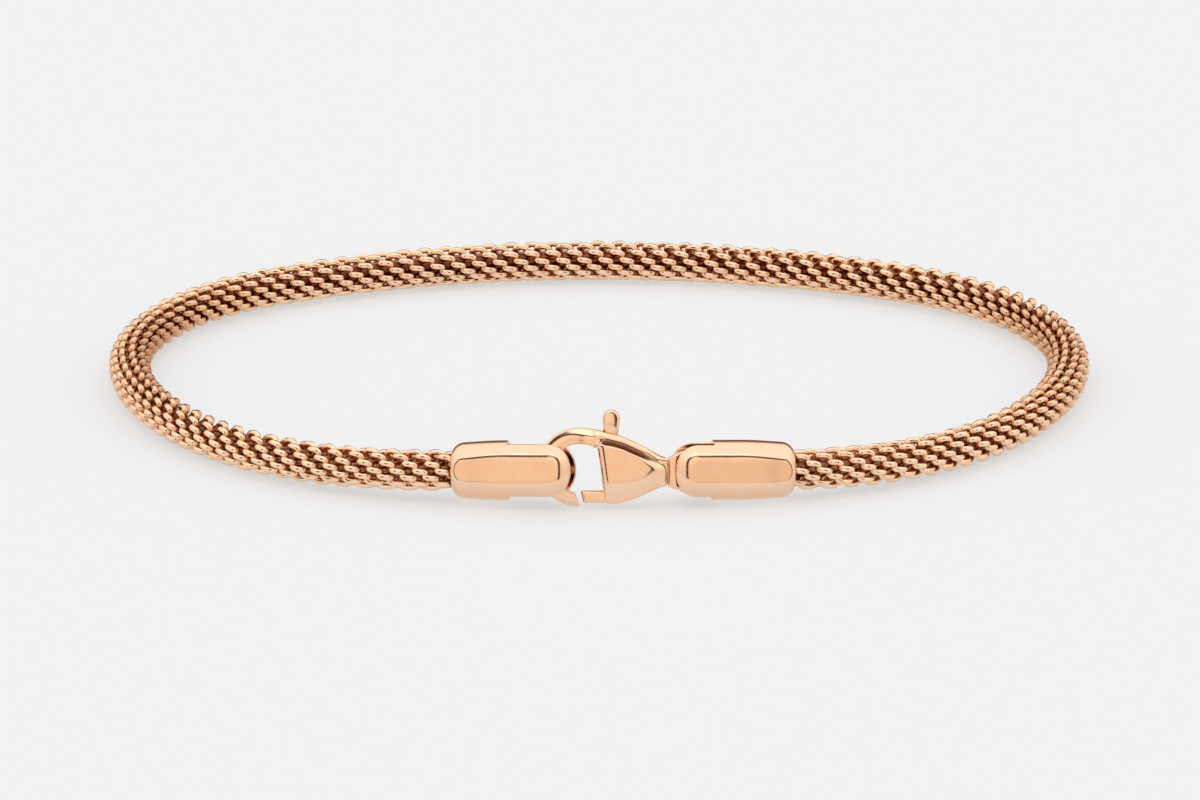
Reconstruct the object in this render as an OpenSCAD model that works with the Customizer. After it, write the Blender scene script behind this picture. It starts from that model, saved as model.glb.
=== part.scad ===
// Closed bracelet: a woven wire tube between two slotted end caps, joined by a lobster clasp.
// Millimetres, +Z up, the clasp towards -Y, origin under the middle of the bounding box.

/* [Loop] */
// Angle of each straight front run to the width axis
front_yaw = 10; // [9:0.5:11]
// Length of each straight front run, from the middle
front_run = 12.45; // [12:0.05:13]
// Radius of the two front bends
front_bend_r = 24.6; // [22:0.1:28]
// Direction in which a front bend ends
front_bend_end = 89; // [80:1:95]
// Radius of the two back bends
back_bend_r = 18.9; // [16:0.1:22]
// Direction in which a back bend ends, where the flat back arc begins
back_bend_end = 152; // [145:1:158]
// Distance of the front runs' meeting point from the middle of the box
front_reach = 24.32; // [22:0.01:26]

/* [Rope] */
// Width of the woven tube across the loop
rope_w = 2.98; // [2.8:0.01:3.1]
// Height of the woven tube
rope_h = 2.84; // [2.7:0.01:3.0]
// Thickness of the woven wall
rope_wall = 0.45; // [0.3:0.05:0.7]
// Diameter of the tube where it is drawn into a cap
rope_end_d = 2.48; // [2.3:0.01:2.5]
// Length over which the tube narrows outside a cap
rope_neck = 0.5; // [0.3:0.1:1.0]

/* [End caps] */
// Length of a cap
cap_len = 8.42; // [8.3:0.01:8.6]
// Diameter of a cap at its widest
cap_d = 4.08; // [4.0:0.01:4.2]
// Diameter of a cap just behind its rounded mouth
cap_mouth_d = 3.8; // [3.7:0.01:4.0]
// Distance between the front and back flats
cap_flat_t = 3.58; // [3.4:0.01:3.7]
// Edge radius at the clasp end
cap_tip_r = 1.7; // [1.5:0.05:1.8]
// Edge radius at the mouth
cap_mouth_r = 1.0; // [0.8:0.05:1.1]
// Width of the slot between the two cheeks
slot_w = 1.9; // [1.86:0.01:2.0]
// Depth of the slot in the left cap, which takes the hook
slot_depth_left = 4.6; // [4.4:0.05:5.0]
// Depth of the slot in the right cap, which takes the eye
slot_depth_right = 2.85; // [2.8:0.05:3.2]
// Diameter of the socket for the woven tube
socket_d = 2.64; // [2.6:0.01:2.7]
// Depth of the socket
socket_depth = 1.9; // [1.5:0.1:2.4]
// Diameter of a cross pin
cross_pin_d = 0.76; // [0.6:0.01:0.8]
// Radial gap of a cross pin in its bores
cross_pin_gap = 0.03; // [0.02:0.01:0.05]
// Depth of a cross pin's bore in each cheek
cross_pin_seat = 0.42; // [0.3:0.01:0.5]
// Distance of the left cross pin from the cap's tip
left_pin_back = 0.9; // [0.88:0.01:0.94]
// Distance of the right cross pin from the cap's tip
right_pin_back = 1.27; // [1.2:0.01:1.35]

/* [Cap positions] */
// Sideways distance of the left mouth from the middle
left_mouth_x = 9.87; // [9.8:0.01:9.95]
// Height of the left mouth's centre
left_mouth_z = 2.06; // [2.0:0.01:2.2]
// Lean of the left cap's top away from the front
left_roll = 17.5; // [15:0.5:19]
// Sideways distance of the right mouth from the middle
right_mouth_x = 13.09; // [13.0:0.01:13.15]
// Height of the right mouth's centre
right_mouth_z = 1.9; // [1.85:0.01:2.1]
// Lean of the right cap's top away from the front
right_roll = 14; // [12:0.5:17]
// Lean of the clasp's top away from the front
clasp_roll = 16; // [15:0.5:17]
// Rise of both caps towards the clasp
cap_pitch = 3.2; // [2.8:0.1:4]
// Slide of the hook backwards and of the eye forwards on their pins
clasp_slide = 0.12; // [0.08:0.01:0.14]

/* [Clasp] */
// Inner radius of the hook
hook_in_r = 1.55; // [1.53:0.01:1.58]
// Outer radius of the hook
hook_out_r = 2.65; // [2.55:0.01:2.75]
// Half thickness of the hook where it goes round the pin
hook_half_t = 0.52; // [0.4:0.01:0.56]
// Half thickness of the clasp's body
body_half_t = 1.15; // [1.05:0.01:1.25]
// Outer radius of the eye on the right pin
eye_out_r = 1.42; // [1.3:0.01:1.5]
// Inner radius of the eye
eye_in_r = 0.6; // [0.56:0.01:0.66]
// Half thickness of the eye
eye_half_t = 0.5; // [0.4:0.01:0.54]
// Half width of the space for the lever inside the body
lever_space = 0.46; // [0.44:0.01:0.5]

/* [Lever] */
// Half thickness of the lever inside the body
lever_half_t = 0.41; // [0.35:0.01:0.42]
// Half thickness of the thumb piece
thumb_half_t = 0.56; // [0.45:0.01:0.65]
// Radius of the thumb piece's round top
thumb_r = 0.6; // [0.5:0.01:0.65]
// Radius of the lever's hub
hub_r = 0.62; // [0.55:0.01:0.66]
// Diameter of the hinge pin
hinge_pin_d = 0.5; // [0.4:0.01:0.56]
// Radial running gap of the lever on the hinge pin
hinge_gap = 0.04; // [0.02:0.01:0.06]

/* [Hidden] */
// Smoothness of round faces
$fn = 48;
// Parts that this file makes

// Sides of the woven tube's section
ROPE_SIDES = 12;
// Rings along the woven tube between the two mouths
ROPE_RINGS = 60;
// Amount by which a cut runs past the face it starts from
EPS = 0.05;
// Gap between the woven tube's end and the floor of its socket
SOCKET_GAP = 0.06;
// Facets in the round edges of a cap, angle at which the mouth's edge starts, and the place of
// the largest diameter as a share of the length
MOUTH_STEPS = 6;
MOUTH_START = 31;
TIP_STEPS = 9;
WIDEST_AT = 0.44;

function deg_len(r, a) = r * a * PI / 180;
function arc_to(p, r, h0, h) = p + r * [sin(h) - sin(h0), cos(h0) - cos(h)];

// Plan of the loop: a straight run, two bends and a flat back arc on each side
run_end = [front_run * cos(front_yaw), -front_reach + front_run * sin(front_yaw)];
bend1_end = arc_to(run_end, front_bend_r, front_yaw, front_bend_end);
bend2_end = arc_to(bend1_end, back_bend_r, front_bend_end, back_bend_end);
back_r = bend2_end[0] / sin(back_bend_end);
bend1_len = deg_len(front_bend_r, front_bend_end - front_yaw);
bend2_len = deg_len(back_bend_r, back_bend_end - front_bend_end);
back_len = deg_len(back_r, 180 - back_bend_end);
half_len = front_run + bend1_len + bend2_len + back_len;

function heading(s) =
    s < front_run ? front_yaw
    : s < front_run + bend1_len ? front_yaw + (s - front_run) / front_bend_r * 180 / PI
    : s < front_run + bend1_len + bend2_len
        ? front_bend_end + (s - front_run - bend1_len) / back_bend_r * 180 / PI
    : back_bend_end + (s - front_run - bend1_len - bend2_len) / back_r * 180 / PI;
function plan(s) =
    s < front_run ? [s * cos(front_yaw), -front_reach + s * sin(front_yaw)]
    : s < front_run + bend1_len ? arc_to(run_end, front_bend_r, front_yaw, heading(s))
    : s < front_run + bend1_len + bend2_len
        ? arc_to(bend1_end, back_bend_r, front_bend_end, heading(s))
    : arc_to(bend2_end, back_r, back_bend_end, heading(s));

// Height of the tube's centre: it eases from a mouth down to the surface it lies on
rest_z = rope_h / 2;
function eased_z(away, mouth_z) =
    let (drop = mouth_z - rest_z, run = 2 * drop / tan(cap_pitch), k = max(0, 1 - away / run))
    rest_z + drop * k * k;

left_mouth_s = left_mouth_x / cos(front_yaw);
right_mouth_s = right_mouth_x / cos(front_yaw);
rope_len = 2 * half_len - left_mouth_s - right_mouth_s;

function side_of(q) = q < half_len - left_mouth_s ? -1 : 1;
function path_s(q) = side_of(q) < 0 ? left_mouth_s + q : right_mouth_s + rope_len - q;
function path_point(q) =
    let (s = path_s(q), p = plan(s), w = side_of(q))
    [w * p[0], p[1],
        w < 0 ? eased_z(q, left_mouth_z) : eased_z(rope_len - q, right_mouth_z)];
// Direction in the plan that points out of the loop
function path_out(q) = let (h = heading(path_s(q))) [side_of(q) * sin(h), -cos(h), 0];

// A direction after a turn about X, then Y, then Z
function lean_x(v, a) = [v[0], v[1] * cos(a) - v[2] * sin(a), v[1] * sin(a) + v[2] * cos(a)];
function rise_y(v, a) = [v[0] * cos(a) + v[2] * sin(a), v[1], v[2] * cos(a) - v[0] * sin(a)];
function turn_z(v, a) = [v[0] * cos(a) - v[1] * sin(a), v[0] * sin(a) + v[1] * cos(a), v[2]];
function turned(v, t) = turn_z(rise_y(lean_x(v, t[0]), t[1]), t[2]);

// Frames of the caps: origin at the mouth, +X towards the tip
left_turn = [-left_roll, -cap_pitch, -front_yaw];
right_turn = [right_roll, -cap_pitch, 180 + front_yaw];
left_mouth = [-left_mouth_x, left_mouth_x * tan(front_yaw) - front_reach, left_mouth_z];
right_mouth = [right_mouth_x, right_mouth_x * tan(front_yaw) - front_reach, right_mouth_z];
function in_cap(mouth, turn, x) = mouth + turned([x, 0, 0], turn);

// Frame of the clasp: on the line between its places on the two cross pins, at the middle
hook_seat = in_cap(left_mouth, left_turn, cap_len - left_pin_back) + [0, clasp_slide, 0];
eye_seat = in_cap(right_mouth, right_turn, cap_len - right_pin_back) - [0, clasp_slide, 0];
pin_line = eye_seat - hook_seat;
clasp_origin = hook_seat - pin_line * hook_seat[0] / pin_line[0];
clasp_yaw = atan2(pin_line[1], pin_line[0]);
clasp_pitch = -asin(pin_line[2] / norm(pin_line));
clasp_turn = [-clasp_roll, clasp_pitch, clasp_yaw];
eye_at = norm(eye_seat - clasp_origin);

// Clasp drawing, seen from the front: X to the right, Z up
HOOK_AT = [-1.44, 0.2];
PIVOT = [1.45, -0.72];
// Body outline at stations along X: top edge, lower edge of the top rim, lower edge of the face,
// bottom edge, share of the full thickness
BODY_ROWS = [
    [0.08, 2.68, 1.92, -0.86, -2.2, 0.8],
    [0.26, 2.68, 1.9, -0.93, -2.22, 0.97],
    [0.5, 2.62, 1.86, -0.93, -2.22, 1.0],
    [0.9, 2.5, 1.79, -0.93, -2.23, 1.0],
    [1.5, 2.31, 1.59, -0.92, -2.15, 1.0],
    [2.1, 2.05, 1.33, -0.86, -2.0, 1.0],
    [2.7, 1.77, 1.07, -0.74, -1.77, 1.0],
    [3.2, 1.53, 0.84, -0.62, -1.55, 0.97],
    [3.7, 1.24, 0.66, -0.52, -1.32, 0.9],
    [4.1, 0.98, 0.52, -0.48, -1.18, 0.78],
    [4.4, 0.78, 0.36, -0.42, -1.04, 0.6],
    [4.56, 0.55, 0.2, -0.3, -0.8, 0.42]
];
// Slope of the body's left edge, fading out over the first stations
EDGE_SLOPE = 0.17;
EDGE_FADE = 1.6;
// Half thicknesses of the body's edges as shares of its full half thickness
TOP_EDGE = 0.58;
RIM = 0.8;
RIM_DROP = 0.55;
GROOVE = 0.76;
BOTTOM_EDGE = 0.66;

// Neck between the body and the eye: its corners at the body, its corners at the eye as the
// distance before the eye's centre and the height, its end before the eye's hole, and its
// thickness as a share of the eye's
NECK_TOP = [[4.0, 0.9], [4.5, 0.76]];
NECK_LOW = [[4.5, -1.04], [4.0, -1.1]];
NECK_TOP_TO_EYE = [1.06, 1.08];
NECK_LOW_TO_EYE = [0.9, -1.3];
NECK_TO_HOLE = 0.2;
NECK_END_Z = 0.5;
NECK_SHARE = 0.85;

// Outline of the space for the lever and its swing
LEVER_ROOM = [
    [-0.9, -2.8], [0.66, -2.8], [0.78, -1.95], [1.6, -1.6], [2.3, -1.25], [2.34, -0.6],
    [2.78, 1.8], [3.05, 2.4], [3.05, 3.6], [0.09, 3.6], [0.09, 1.95], [0.36, 1.0], [0.62, 0.1],
    [0.62, -0.55], [-0.9, -0.55]
];
// Outline of the gate from its free end, and the places of the arm's corners
GATE_OUTLINE = [[-1.22, -1.37], [-1.3, -1.47], [-1.07, -2.23], [0.52, -2.23], [0.9, -1.75]];
ARM_X = [0.27, 0.22, 1.2, 1.26];
ARM_Z = 2.0;
// Thumb piece: centre of its round top, its foot, the amount its right side stands back, and the
// ball that hollows each cheek of it
THUMB_AT = [0.78, 3.5];
THUMB_FOOT_Z = 2.86;
THUMB_LESS = 0.06;
SCOOP_AT = [1.28, 0.62, 3.34];
SCOOP_R = 0.6;
// Gap round the hinge pin in the body, in which it is fixed, and the pin's length
PIN_SEAT_GAP = 0.02;
hinge_pin_len = 1.68;

// Closed skin over rings of points, each ring with the same even number of points. Both ends are
// closed by triangles across the ring, between the points of its first half and its second half
module skin(rings) {
    n = len(rings[0]);
    m = len(rings);
    points = [for (ring = rings) for (p = ring) p];
    sides = [for (i = [0 : m - 2]) for (j = [0 : n - 1])
        let (a = i * n + j, b = i * n + (j + 1) % n)
        each [[a, b + n, b], [a, a + n, b + n]]];
    across = [for (j = [0 : n / 2 - 2])
        each [[j, j + 1, n - 2 - j], [j, n - 2 - j, n - 1 - j]]];
    far_end = [for (t = across) [for (k = [2 : -1 : 0]) (m - 1) * n + t[k]]];
    polyhedron(points = points, faces = concat(sides, across, far_end), convexity = 6);
}

// Section of the woven tube: an oval ring of points round a centre
function tube_ring(c, out, w, h) =
    [for (j = [0 : ROPE_SIDES - 1])
        let (a = 360 * j / ROPE_SIDES) c + out * (w / 2) * cos(a) + [0, 0, 1] * (h / 2) * sin(a)];

rope_flare = [0, rope_neck * 0.6, rope_neck];
rope_stops = concat(rope_flare,
    [for (i = [1 : ROPE_RINGS - 1]) rope_neck + (rope_len - 2 * rope_neck) * i / ROPE_RINGS],
    [for (f = [2 : -1 : 0]) rope_len - rope_flare[f]]);
function rope_size(q, full) =
    let (k = min(1, min(q, rope_len - q) / rope_neck))
    rope_end_d + (full - rope_end_d) * sin(90 * k);
function rope_end_ring(mouth, turn, side, x) =
    tube_ring(in_cap(mouth, turn, x), turn_z([0, -side, 0], turn[2]), rope_end_d, rope_end_d);

// Skin of the woven tube, moved in by an inset, which also lengthens it to cut through the ends
module rope_skin(inset) {
    end_x = socket_depth - SOCKET_GAP + (inset > 0 ? EPS : 0);
    rings = concat(
        [rope_end_ring(left_mouth, left_turn, 1, end_x)],
        [for (q = rope_stops)
            tube_ring(path_point(q), path_out(q), rope_size(q, rope_w), rope_size(q, rope_h))],
        [rope_end_ring(right_mouth, right_turn, -1, end_x)]);
    shrunk = [for (ring = rings)
        let (c = (ring[0] + ring[ROPE_SIDES / 2]) / 2)
        [for (p = ring) p - (p - c) * (inset / norm(p - c))]];
    skin(shrunk);
}

module mesh_rope() {
    color("peru")
    difference() {
        rope_skin(0);
        rope_skin(rope_wall);
    }
}

module place(at, turn) {
    translate(at) rotate(turn) children();
}

// Half outline of a cap, turned about its length: the mouth's round edge, then the tip's
module cap_profile() {
    tip_x = cap_len - cap_tip_r;
    tip_y = cap_d / 2 - cap_tip_r;
    mouth_y = cap_mouth_d / 2 - cap_mouth_r;
    mouth_x = cap_mouth_r * cos(MOUTH_START);
    polygon(concat(
        [[0, 0]],
        [for (i = [0 : MOUTH_STEPS])
            let (a = MOUTH_START + (90 - MOUTH_START) * i / MOUTH_STEPS)
            [mouth_x - cap_mouth_r * cos(a), mouth_y + cap_mouth_r * sin(a)]],
        [[cap_len * WIDEST_AT, cap_d / 2]],
        [for (i = [0 : TIP_STEPS])
            let (a = 90 - 90 * i / TIP_STEPS)
            [tip_x + cap_tip_r * cos(a), tip_y + cap_tip_r * sin(a)]],
        [[cap_len, 0]]));
}

module end_cap(slot_depth, pin_back) {
    difference() {
        intersection() {
            rotate([0, 90, 0]) rotate_extrude($fn = 96) mirror([1, -1]) cap_profile();
            translate([-1, -cap_flat_t / 2, -cap_d]) cube([cap_len + 2, cap_flat_t, 2 * cap_d]);
        }
        translate([cap_len - slot_depth, -slot_w / 2, -cap_d])
            cube([slot_depth + 1, slot_w, 2 * cap_d]);
        translate([-1, 0, 0]) rotate([0, 90, 0]) cylinder(h = socket_depth + 1, d = socket_d);
        translate([cap_len - pin_back, 0, 0]) rotate([90, 0, 0])
            cylinder(h = slot_w + 2 * cross_pin_seat, d = cross_pin_d + 2 * cross_pin_gap,
                center = true);
    }
}

module cross_pin(pin_back) {
    translate([cap_len - pin_back, 0, 0]) rotate([90, 0, 0])
        cylinder(h = slot_w + 2 * (cross_pin_seat - cross_pin_gap), d = cross_pin_d, center = true);
}

module end_cap_left() {
    color("sandybrown") place(left_mouth, left_turn) end_cap(slot_depth_left, left_pin_back);
}

module end_cap_right() {
    color("sandybrown") place(right_mouth, right_turn) end_cap(slot_depth_right, right_pin_back);
}

module cross_pin_left() {
    color("chocolate") place(left_mouth, left_turn) cross_pin(left_pin_back);
}

module cross_pin_right() {
    color("chocolate") place(right_mouth, right_turn) cross_pin(right_pin_back);
}

// Section of the clasp's body at one station: down the front from the top edge and up the back
function body_ring(row) =
    let (x = row[0], t = body_half_t * row[5], top = row[1], step = row[2], face = row[3],
        low = row[4], rim = max(top - RIM_DROP, step + 0.1),
        front = [[top, TOP_EDGE], [rim, RIM], [step, GROOVE], [step - 0.16, 1], [face, 1],
            [low, BOTTOM_EDGE]],
        fade = EDGE_SLOPE * max(0, 1 - max(x, 0) / EDGE_FADE))
    concat([for (v = front) [x - fade * v[0], -t * v[1], v[0]]],
        [for (i = [5 : -1 : 0]) [x - fade * front[i][0], t * front[i][1], front[i][0]]]);

// Section of the hook at an angle from its centre: outer edge, ridge, inner edge, front and back
function hook_ring(a, slant, r_in, r_out, t) =
    let (w = r_out - r_in,
        front = [[r_out, 0.62], [r_out - 0.42 * w, 1], [r_in + 0.14 * w, 1], [r_in, 0.72]],
        both = concat([for (v = front) [v[0], -t * v[1]]],
            [for (i = [3 : -1 : 0]) [front[i][0], t * front[i][1]]]))
    [for (v = both)
        let (b = a + slant * (v[0] - r_in) / w)
        [HOOK_AT[0] + v[0] * cos(b), v[1], HOOK_AT[1] + v[0] * sin(b)]];

// Stations of the hook from its tip: angle, slant of the section, growth of the inner and outer
// radius, share of thickening
HOOK_ROWS = [
    [263.5, 10, 0.2, -0.06, 0], [256, 7, 0.15, 0, 0], [246, 3, 0.1, 0, 0], [234, 0, 0.04, 0, 0],
    [222, 0, 0, 0, 0], [210, 0, 0, 0, 0], [198, 0, 0, 0, 0], [186, 0, 0, 0, 0], [174, 0, 0, 0, 0],
    [162, 0, 0, 0, 0], [150, 0, 0, 0, 0], [138, 0, 0, 0, 0], [126, 0, 0, 0, 0],
    [114, 0, 0, 0, 0.08], [102, 0, 0, 0, 0.25], [90, 0, 0, 0, 0.5], [78, 0, 0.02, 0.05, 0.8],
    [66, 0, 0.08, 0.12, 1], [56, 0, 0.14, 0.2, 1]
];

module hook() {
    thick = body_half_t * RIM - hook_half_t;
    skin([for (row = HOOK_ROWS)
        hook_ring(row[0], row[1], hook_in_r + row[2], hook_out_r + row[3],
            hook_half_t + thick * row[4])]);
}

// Eye and neck behind the body: a flat ring with sloping edges on a tapering plate
module eye() {
    ring_w = eye_out_r - eye_in_r;
    slope = 0.22;
    translate([eye_at, 0, 0]) rotate([90, 0, 0]) rotate_extrude()
        polygon([[eye_in_r, -eye_half_t + slope / 2], [eye_in_r + slope / 2, -eye_half_t],
            [eye_in_r + ring_w - slope, -eye_half_t], [eye_out_r, -eye_half_t + slope],
            [eye_out_r, eye_half_t - slope], [eye_in_r + ring_w - slope, eye_half_t],
            [eye_in_r + slope / 2, eye_half_t], [eye_in_r, eye_half_t - slope / 2]]);
}

module neck() {
    back = eye_at - eye_in_r - NECK_TO_HOLE;
    plate(NECK_SHARE * eye_half_t)
        polygon([NECK_TOP[0], NECK_TOP[1], [eye_at - NECK_TOP_TO_EYE[0], NECK_TOP_TO_EYE[1]],
            [back, NECK_END_Z], [back, -NECK_END_Z],
            [eye_at - NECK_LOW_TO_EYE[0], NECK_LOW_TO_EYE[1]], NECK_LOW[0], NECK_LOW[1]]);
}

// Plate of a half thickness whose drawing is seen from the front
module plate(half_t) {
    rotate([90, 0, 0]) linear_extrude(height = 2 * half_t, center = true) children();
}

// Space in the body that the lever and its swing take up
module lever_room() {
    plate(lever_space) polygon(LEVER_ROOM);
}

// Cylinder along the lever's hinge
module hinge_bar(h, d) {
    translate([PIVOT[0], 0, PIVOT[1]]) rotate([90, 0, 0]) cylinder(h = h, d = d, center = true);
}

module clasp_body() {
    color("burlywood") place(clasp_origin, clasp_turn)
    difference() {
        union() {
            skin([for (row = BODY_ROWS) body_ring(row)]);
            hook();
            neck();
            eye();
        }
        lever_room();
        hinge_bar(hinge_pin_len + 2 * PIN_SEAT_GAP, hinge_pin_d + 2 * PIN_SEAT_GAP);
    }
}

// Lever drawing: gate at the bottom left, hub round the hinge and arm up to the thumb piece
module lever_outline() {
    px = PIVOT[0];
    pz = PIVOT[1];
    translate(PIVOT) circle(hub_r);
    polygon(concat(GATE_OUTLINE, [[px + 0.3, pz - 0.54], [px - 0.3, pz + 0.54], [0.9, -1.0],
        [0.3, -1.37]]));
    polygon([[px - 0.58, pz + 0.2], [ARM_X[0], ARM_Z], [ARM_X[1], THUMB_AT[1]],
        [ARM_X[2], THUMB_AT[1]], [ARM_X[3], ARM_Z], [px + 0.58, pz + 0.2]]);
}

module clasp_lever() {
    color("tan") place(clasp_origin, clasp_turn)
    difference() {
        union() {
            plate(lever_half_t) lever_outline();
            plate(thumb_half_t) {
                translate(THUMB_AT) circle(thumb_r);
                translate([THUMB_AT[0] - thumb_r, THUMB_FOOT_Z])
                    square([2 * thumb_r - THUMB_LESS, THUMB_AT[1] - THUMB_FOOT_Z]);
            }
        }
        for (side = [-1, 1]) translate([SCOOP_AT[0], side * SCOOP_AT[1], SCOOP_AT[2]])
            sphere(SCOOP_R);
        hinge_bar(2 * lever_half_t + 1, hinge_pin_d + 2 * hinge_gap);
    }
}

module lever_pin() {
    color("chocolate") place(clasp_origin, clasp_turn) hinge_bar(hinge_pin_len, hinge_pin_d);
}

mesh_rope();
end_cap_left();
end_cap_right();
cross_pin_left();
cross_pin_right();
clasp_body();
clasp_lever();
lever_pin();
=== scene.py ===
"""Looks of a rose gold bracelet: a tube woven from wire coils, two slotted end caps and a lobster clasp.

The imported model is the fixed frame. The woven tube is made by Geometry Nodes along the loop, and the
polished pieces are smooth surfaces drawn round their own rules, with every edge slightly rounded as on
polished jewellery. Lengths in the classes are millimetres, and every mesh is written in metres.
"""

import logging
import math
from dataclasses import dataclass, field
from enum import Enum
from typing import Callable, Sequence

import bpy
import numpy as np
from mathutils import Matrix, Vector


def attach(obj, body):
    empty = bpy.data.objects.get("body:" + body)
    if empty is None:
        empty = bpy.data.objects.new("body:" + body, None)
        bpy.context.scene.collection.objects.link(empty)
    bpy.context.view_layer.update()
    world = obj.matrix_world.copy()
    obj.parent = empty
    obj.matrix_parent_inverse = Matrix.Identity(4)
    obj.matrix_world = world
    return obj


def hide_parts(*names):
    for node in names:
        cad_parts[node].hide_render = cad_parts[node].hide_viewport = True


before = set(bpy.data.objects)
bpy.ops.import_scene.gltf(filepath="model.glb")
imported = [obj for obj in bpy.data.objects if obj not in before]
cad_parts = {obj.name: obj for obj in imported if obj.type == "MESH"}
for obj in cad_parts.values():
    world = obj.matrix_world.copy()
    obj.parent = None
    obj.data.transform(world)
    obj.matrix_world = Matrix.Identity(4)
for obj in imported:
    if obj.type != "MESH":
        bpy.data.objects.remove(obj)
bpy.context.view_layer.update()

MM = 0.001
NOISE_RANGE = (0.3, 0.7)
TINY = 1e-12
LOG = logging.getLogger("bracelet")

Array = np.ndarray
Pair = tuple[float, float]
Triple = tuple[float, float, float]
Outline = tuple[Pair, ...]
Rows = tuple[tuple[float, ...], ...]
Stops = Sequence[tuple[float, Triple]]
Field = Callable[[Array], Array]
Links = Sequence[Sequence[int]]


class Body(Enum):
    """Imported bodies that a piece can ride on."""

    BRACELET = "bracelet"
    LEVER = "lever"


class Slot(Enum):
    """Names of the two material slots."""

    WIRE = "woven_wire"
    METAL = "polished_metal"


def cosd(degrees: float) -> float:
    """Cosine of an angle in degrees."""
    return math.cos(math.radians(degrees))


def sind(degrees: float) -> float:
    """Sine of an angle in degrees."""
    return math.sin(math.radians(degrees))


def turn_matrix(degrees: Sequence[float]) -> Array:
    """Matrix of a turn about X, then Y, then Z.

    Args:
        degrees: The three angles.

    Returns:
        The 3 by 3 matrix.
    """
    a, b, c = np.radians(degrees)
    about_x = [[1, 0, 0], [0, math.cos(a), -math.sin(a)], [0, math.sin(a), math.cos(a)]]
    about_y = [[math.cos(b), 0, math.sin(b)], [0, 1, 0], [-math.sin(b), 0, math.cos(b)]]
    about_z = [[math.cos(c), -math.sin(c), 0], [math.sin(c), math.cos(c), 0], [0, 0, 1]]
    return np.array(about_z) @ np.array(about_y) @ np.array(about_x)


@dataclass(frozen=True)
class Place:
    """Where a piece's own drawing stands in the bracelet."""

    origin: Triple
    turn: Triple

    def out(self, points: Array) -> Array:
        """Takes points of the drawing to the bracelet."""
        return points @ turn_matrix(self.turn).T + np.array(self.origin)

    def direction(self, vectors: Array) -> Array:
        """Takes directions of the drawing to the bracelet."""
        return vectors @ turn_matrix(self.turn).T


@dataclass(frozen=True)
class Fit:
    """Sizes that the caps, the clasp and the woven tube share, as the frame has them."""

    front_yaw: float = 10.0
    front_reach: float = 24.32
    cap_len: float = 8.42
    cap_pitch: float = 3.2
    left_mouth: Pair = (9.87, 2.06)
    right_mouth: Pair = (13.09, 1.9)
    left_roll: float = 17.5
    right_roll: float = 14.0
    clasp_roll: float = 16.0
    left_pin_back: float = 0.9
    right_pin_back: float = 1.27
    clasp_slide: float = 0.12

    def _mouth(self, side: int, across: float, height: float) -> Triple:
        """Centre of a cap's mouth."""
        return (side * across, across * math.tan(math.radians(self.front_yaw)) - self.front_reach, height)

    def left_cap(self) -> Place:
        """Place of the left cap, with X towards the clasp."""
        return Place(self._mouth(-1, *self.left_mouth), (-self.left_roll, -self.cap_pitch, -self.front_yaw))

    def right_cap(self) -> Place:
        """Place of the right cap, with X towards the clasp."""
        turn = (self.right_roll, -self.cap_pitch, 180 + self.front_yaw)
        return Place(self._mouth(1, *self.right_mouth), turn)

    def clasp(self) -> tuple[Place, float]:
        """Place of the clasp's drawing and the distance of its eye from the middle.

        Returns:
            The place, and the eye's distance along X.
        """
        slide = np.array([0.0, self.clasp_slide, 0.0])
        hook = self.left_cap().out(np.array([self.cap_len - self.left_pin_back, 0, 0])) + slide
        eye = self.right_cap().out(np.array([self.cap_len - self.right_pin_back, 0, 0])) - slide
        line = eye - hook
        origin = hook - line * hook[0] / line[0]
        yaw = math.degrees(math.atan2(line[1], line[0]))
        pitch = -math.degrees(math.asin(line[2] / np.linalg.norm(line)))
        place = Place(tuple(origin), (-self.clasp_roll, pitch, yaw))
        return place, float(np.linalg.norm(eye - origin))


class Sock:
    """One output socket in an expression. Arithmetic on it adds Math or Vector Math nodes."""

    def __init__(self, graph: "Graph", socket: bpy.types.NodeSocket, is_vector: bool = False) -> None:
        """Keeps the socket.

        Args:
            graph: The graph that it belongs to.
            socket: The output socket.
            is_vector: Whether it carries a vector.
        """
        self.graph = graph
        self.socket = socket
        self.is_vector = is_vector

    def _join(self, operation: str, first: object, second: object) -> "Sock":
        """Adds one node for an operation.

        Args:
            operation: Its name.
            first: The operand on the left, an expression or a value.
            second: The operand on the right.

        Returns:
            The result.
        """
        either = any(isinstance(v, Sock) and v.is_vector for v in (first, second))
        kind = self.graph.vector_math if either else self.graph.number_math
        return self.graph.node(kind, {"operation": operation}, {0: first, 1: second}, vector=either)

    def __add__(self, other: object) -> "Sock":
        """Sum."""
        return self._join("ADD", self, other)

    def __radd__(self, other: object) -> "Sock":
        """Sum with the operand on the left."""
        return self._join("ADD", other, self)

    def __sub__(self, other: object) -> "Sock":
        """Difference."""
        return self._join("SUBTRACT", self, other)

    def __rsub__(self, other: object) -> "Sock":
        """Difference with the operand on the left."""
        return self._join("SUBTRACT", other, self)

    def __mul__(self, other: object) -> "Sock":
        """Product, or a vector scaled by a number.

        Args:
            other: The operand on the right.

        Returns:
            The result.
        """
        vectors = [isinstance(v, Sock) and v.is_vector for v in (self, other)]
        if any(vectors) and not all(vectors):
            vector, number = (self, other) if vectors[0] else (other, self)
            scale = {"operation": "SCALE"}
            return self.graph.node(self.graph.vector_math, scale, {0: vector, "Scale": number}, vector=True)
        return self._join("MULTIPLY", self, other)

    def __rmul__(self, other: object) -> "Sock":
        """Product with the operand on the left."""
        return self * other

    def __truediv__(self, other: object) -> "Sock":
        """Quotient."""
        return self._join("DIVIDE", self, other)


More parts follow.
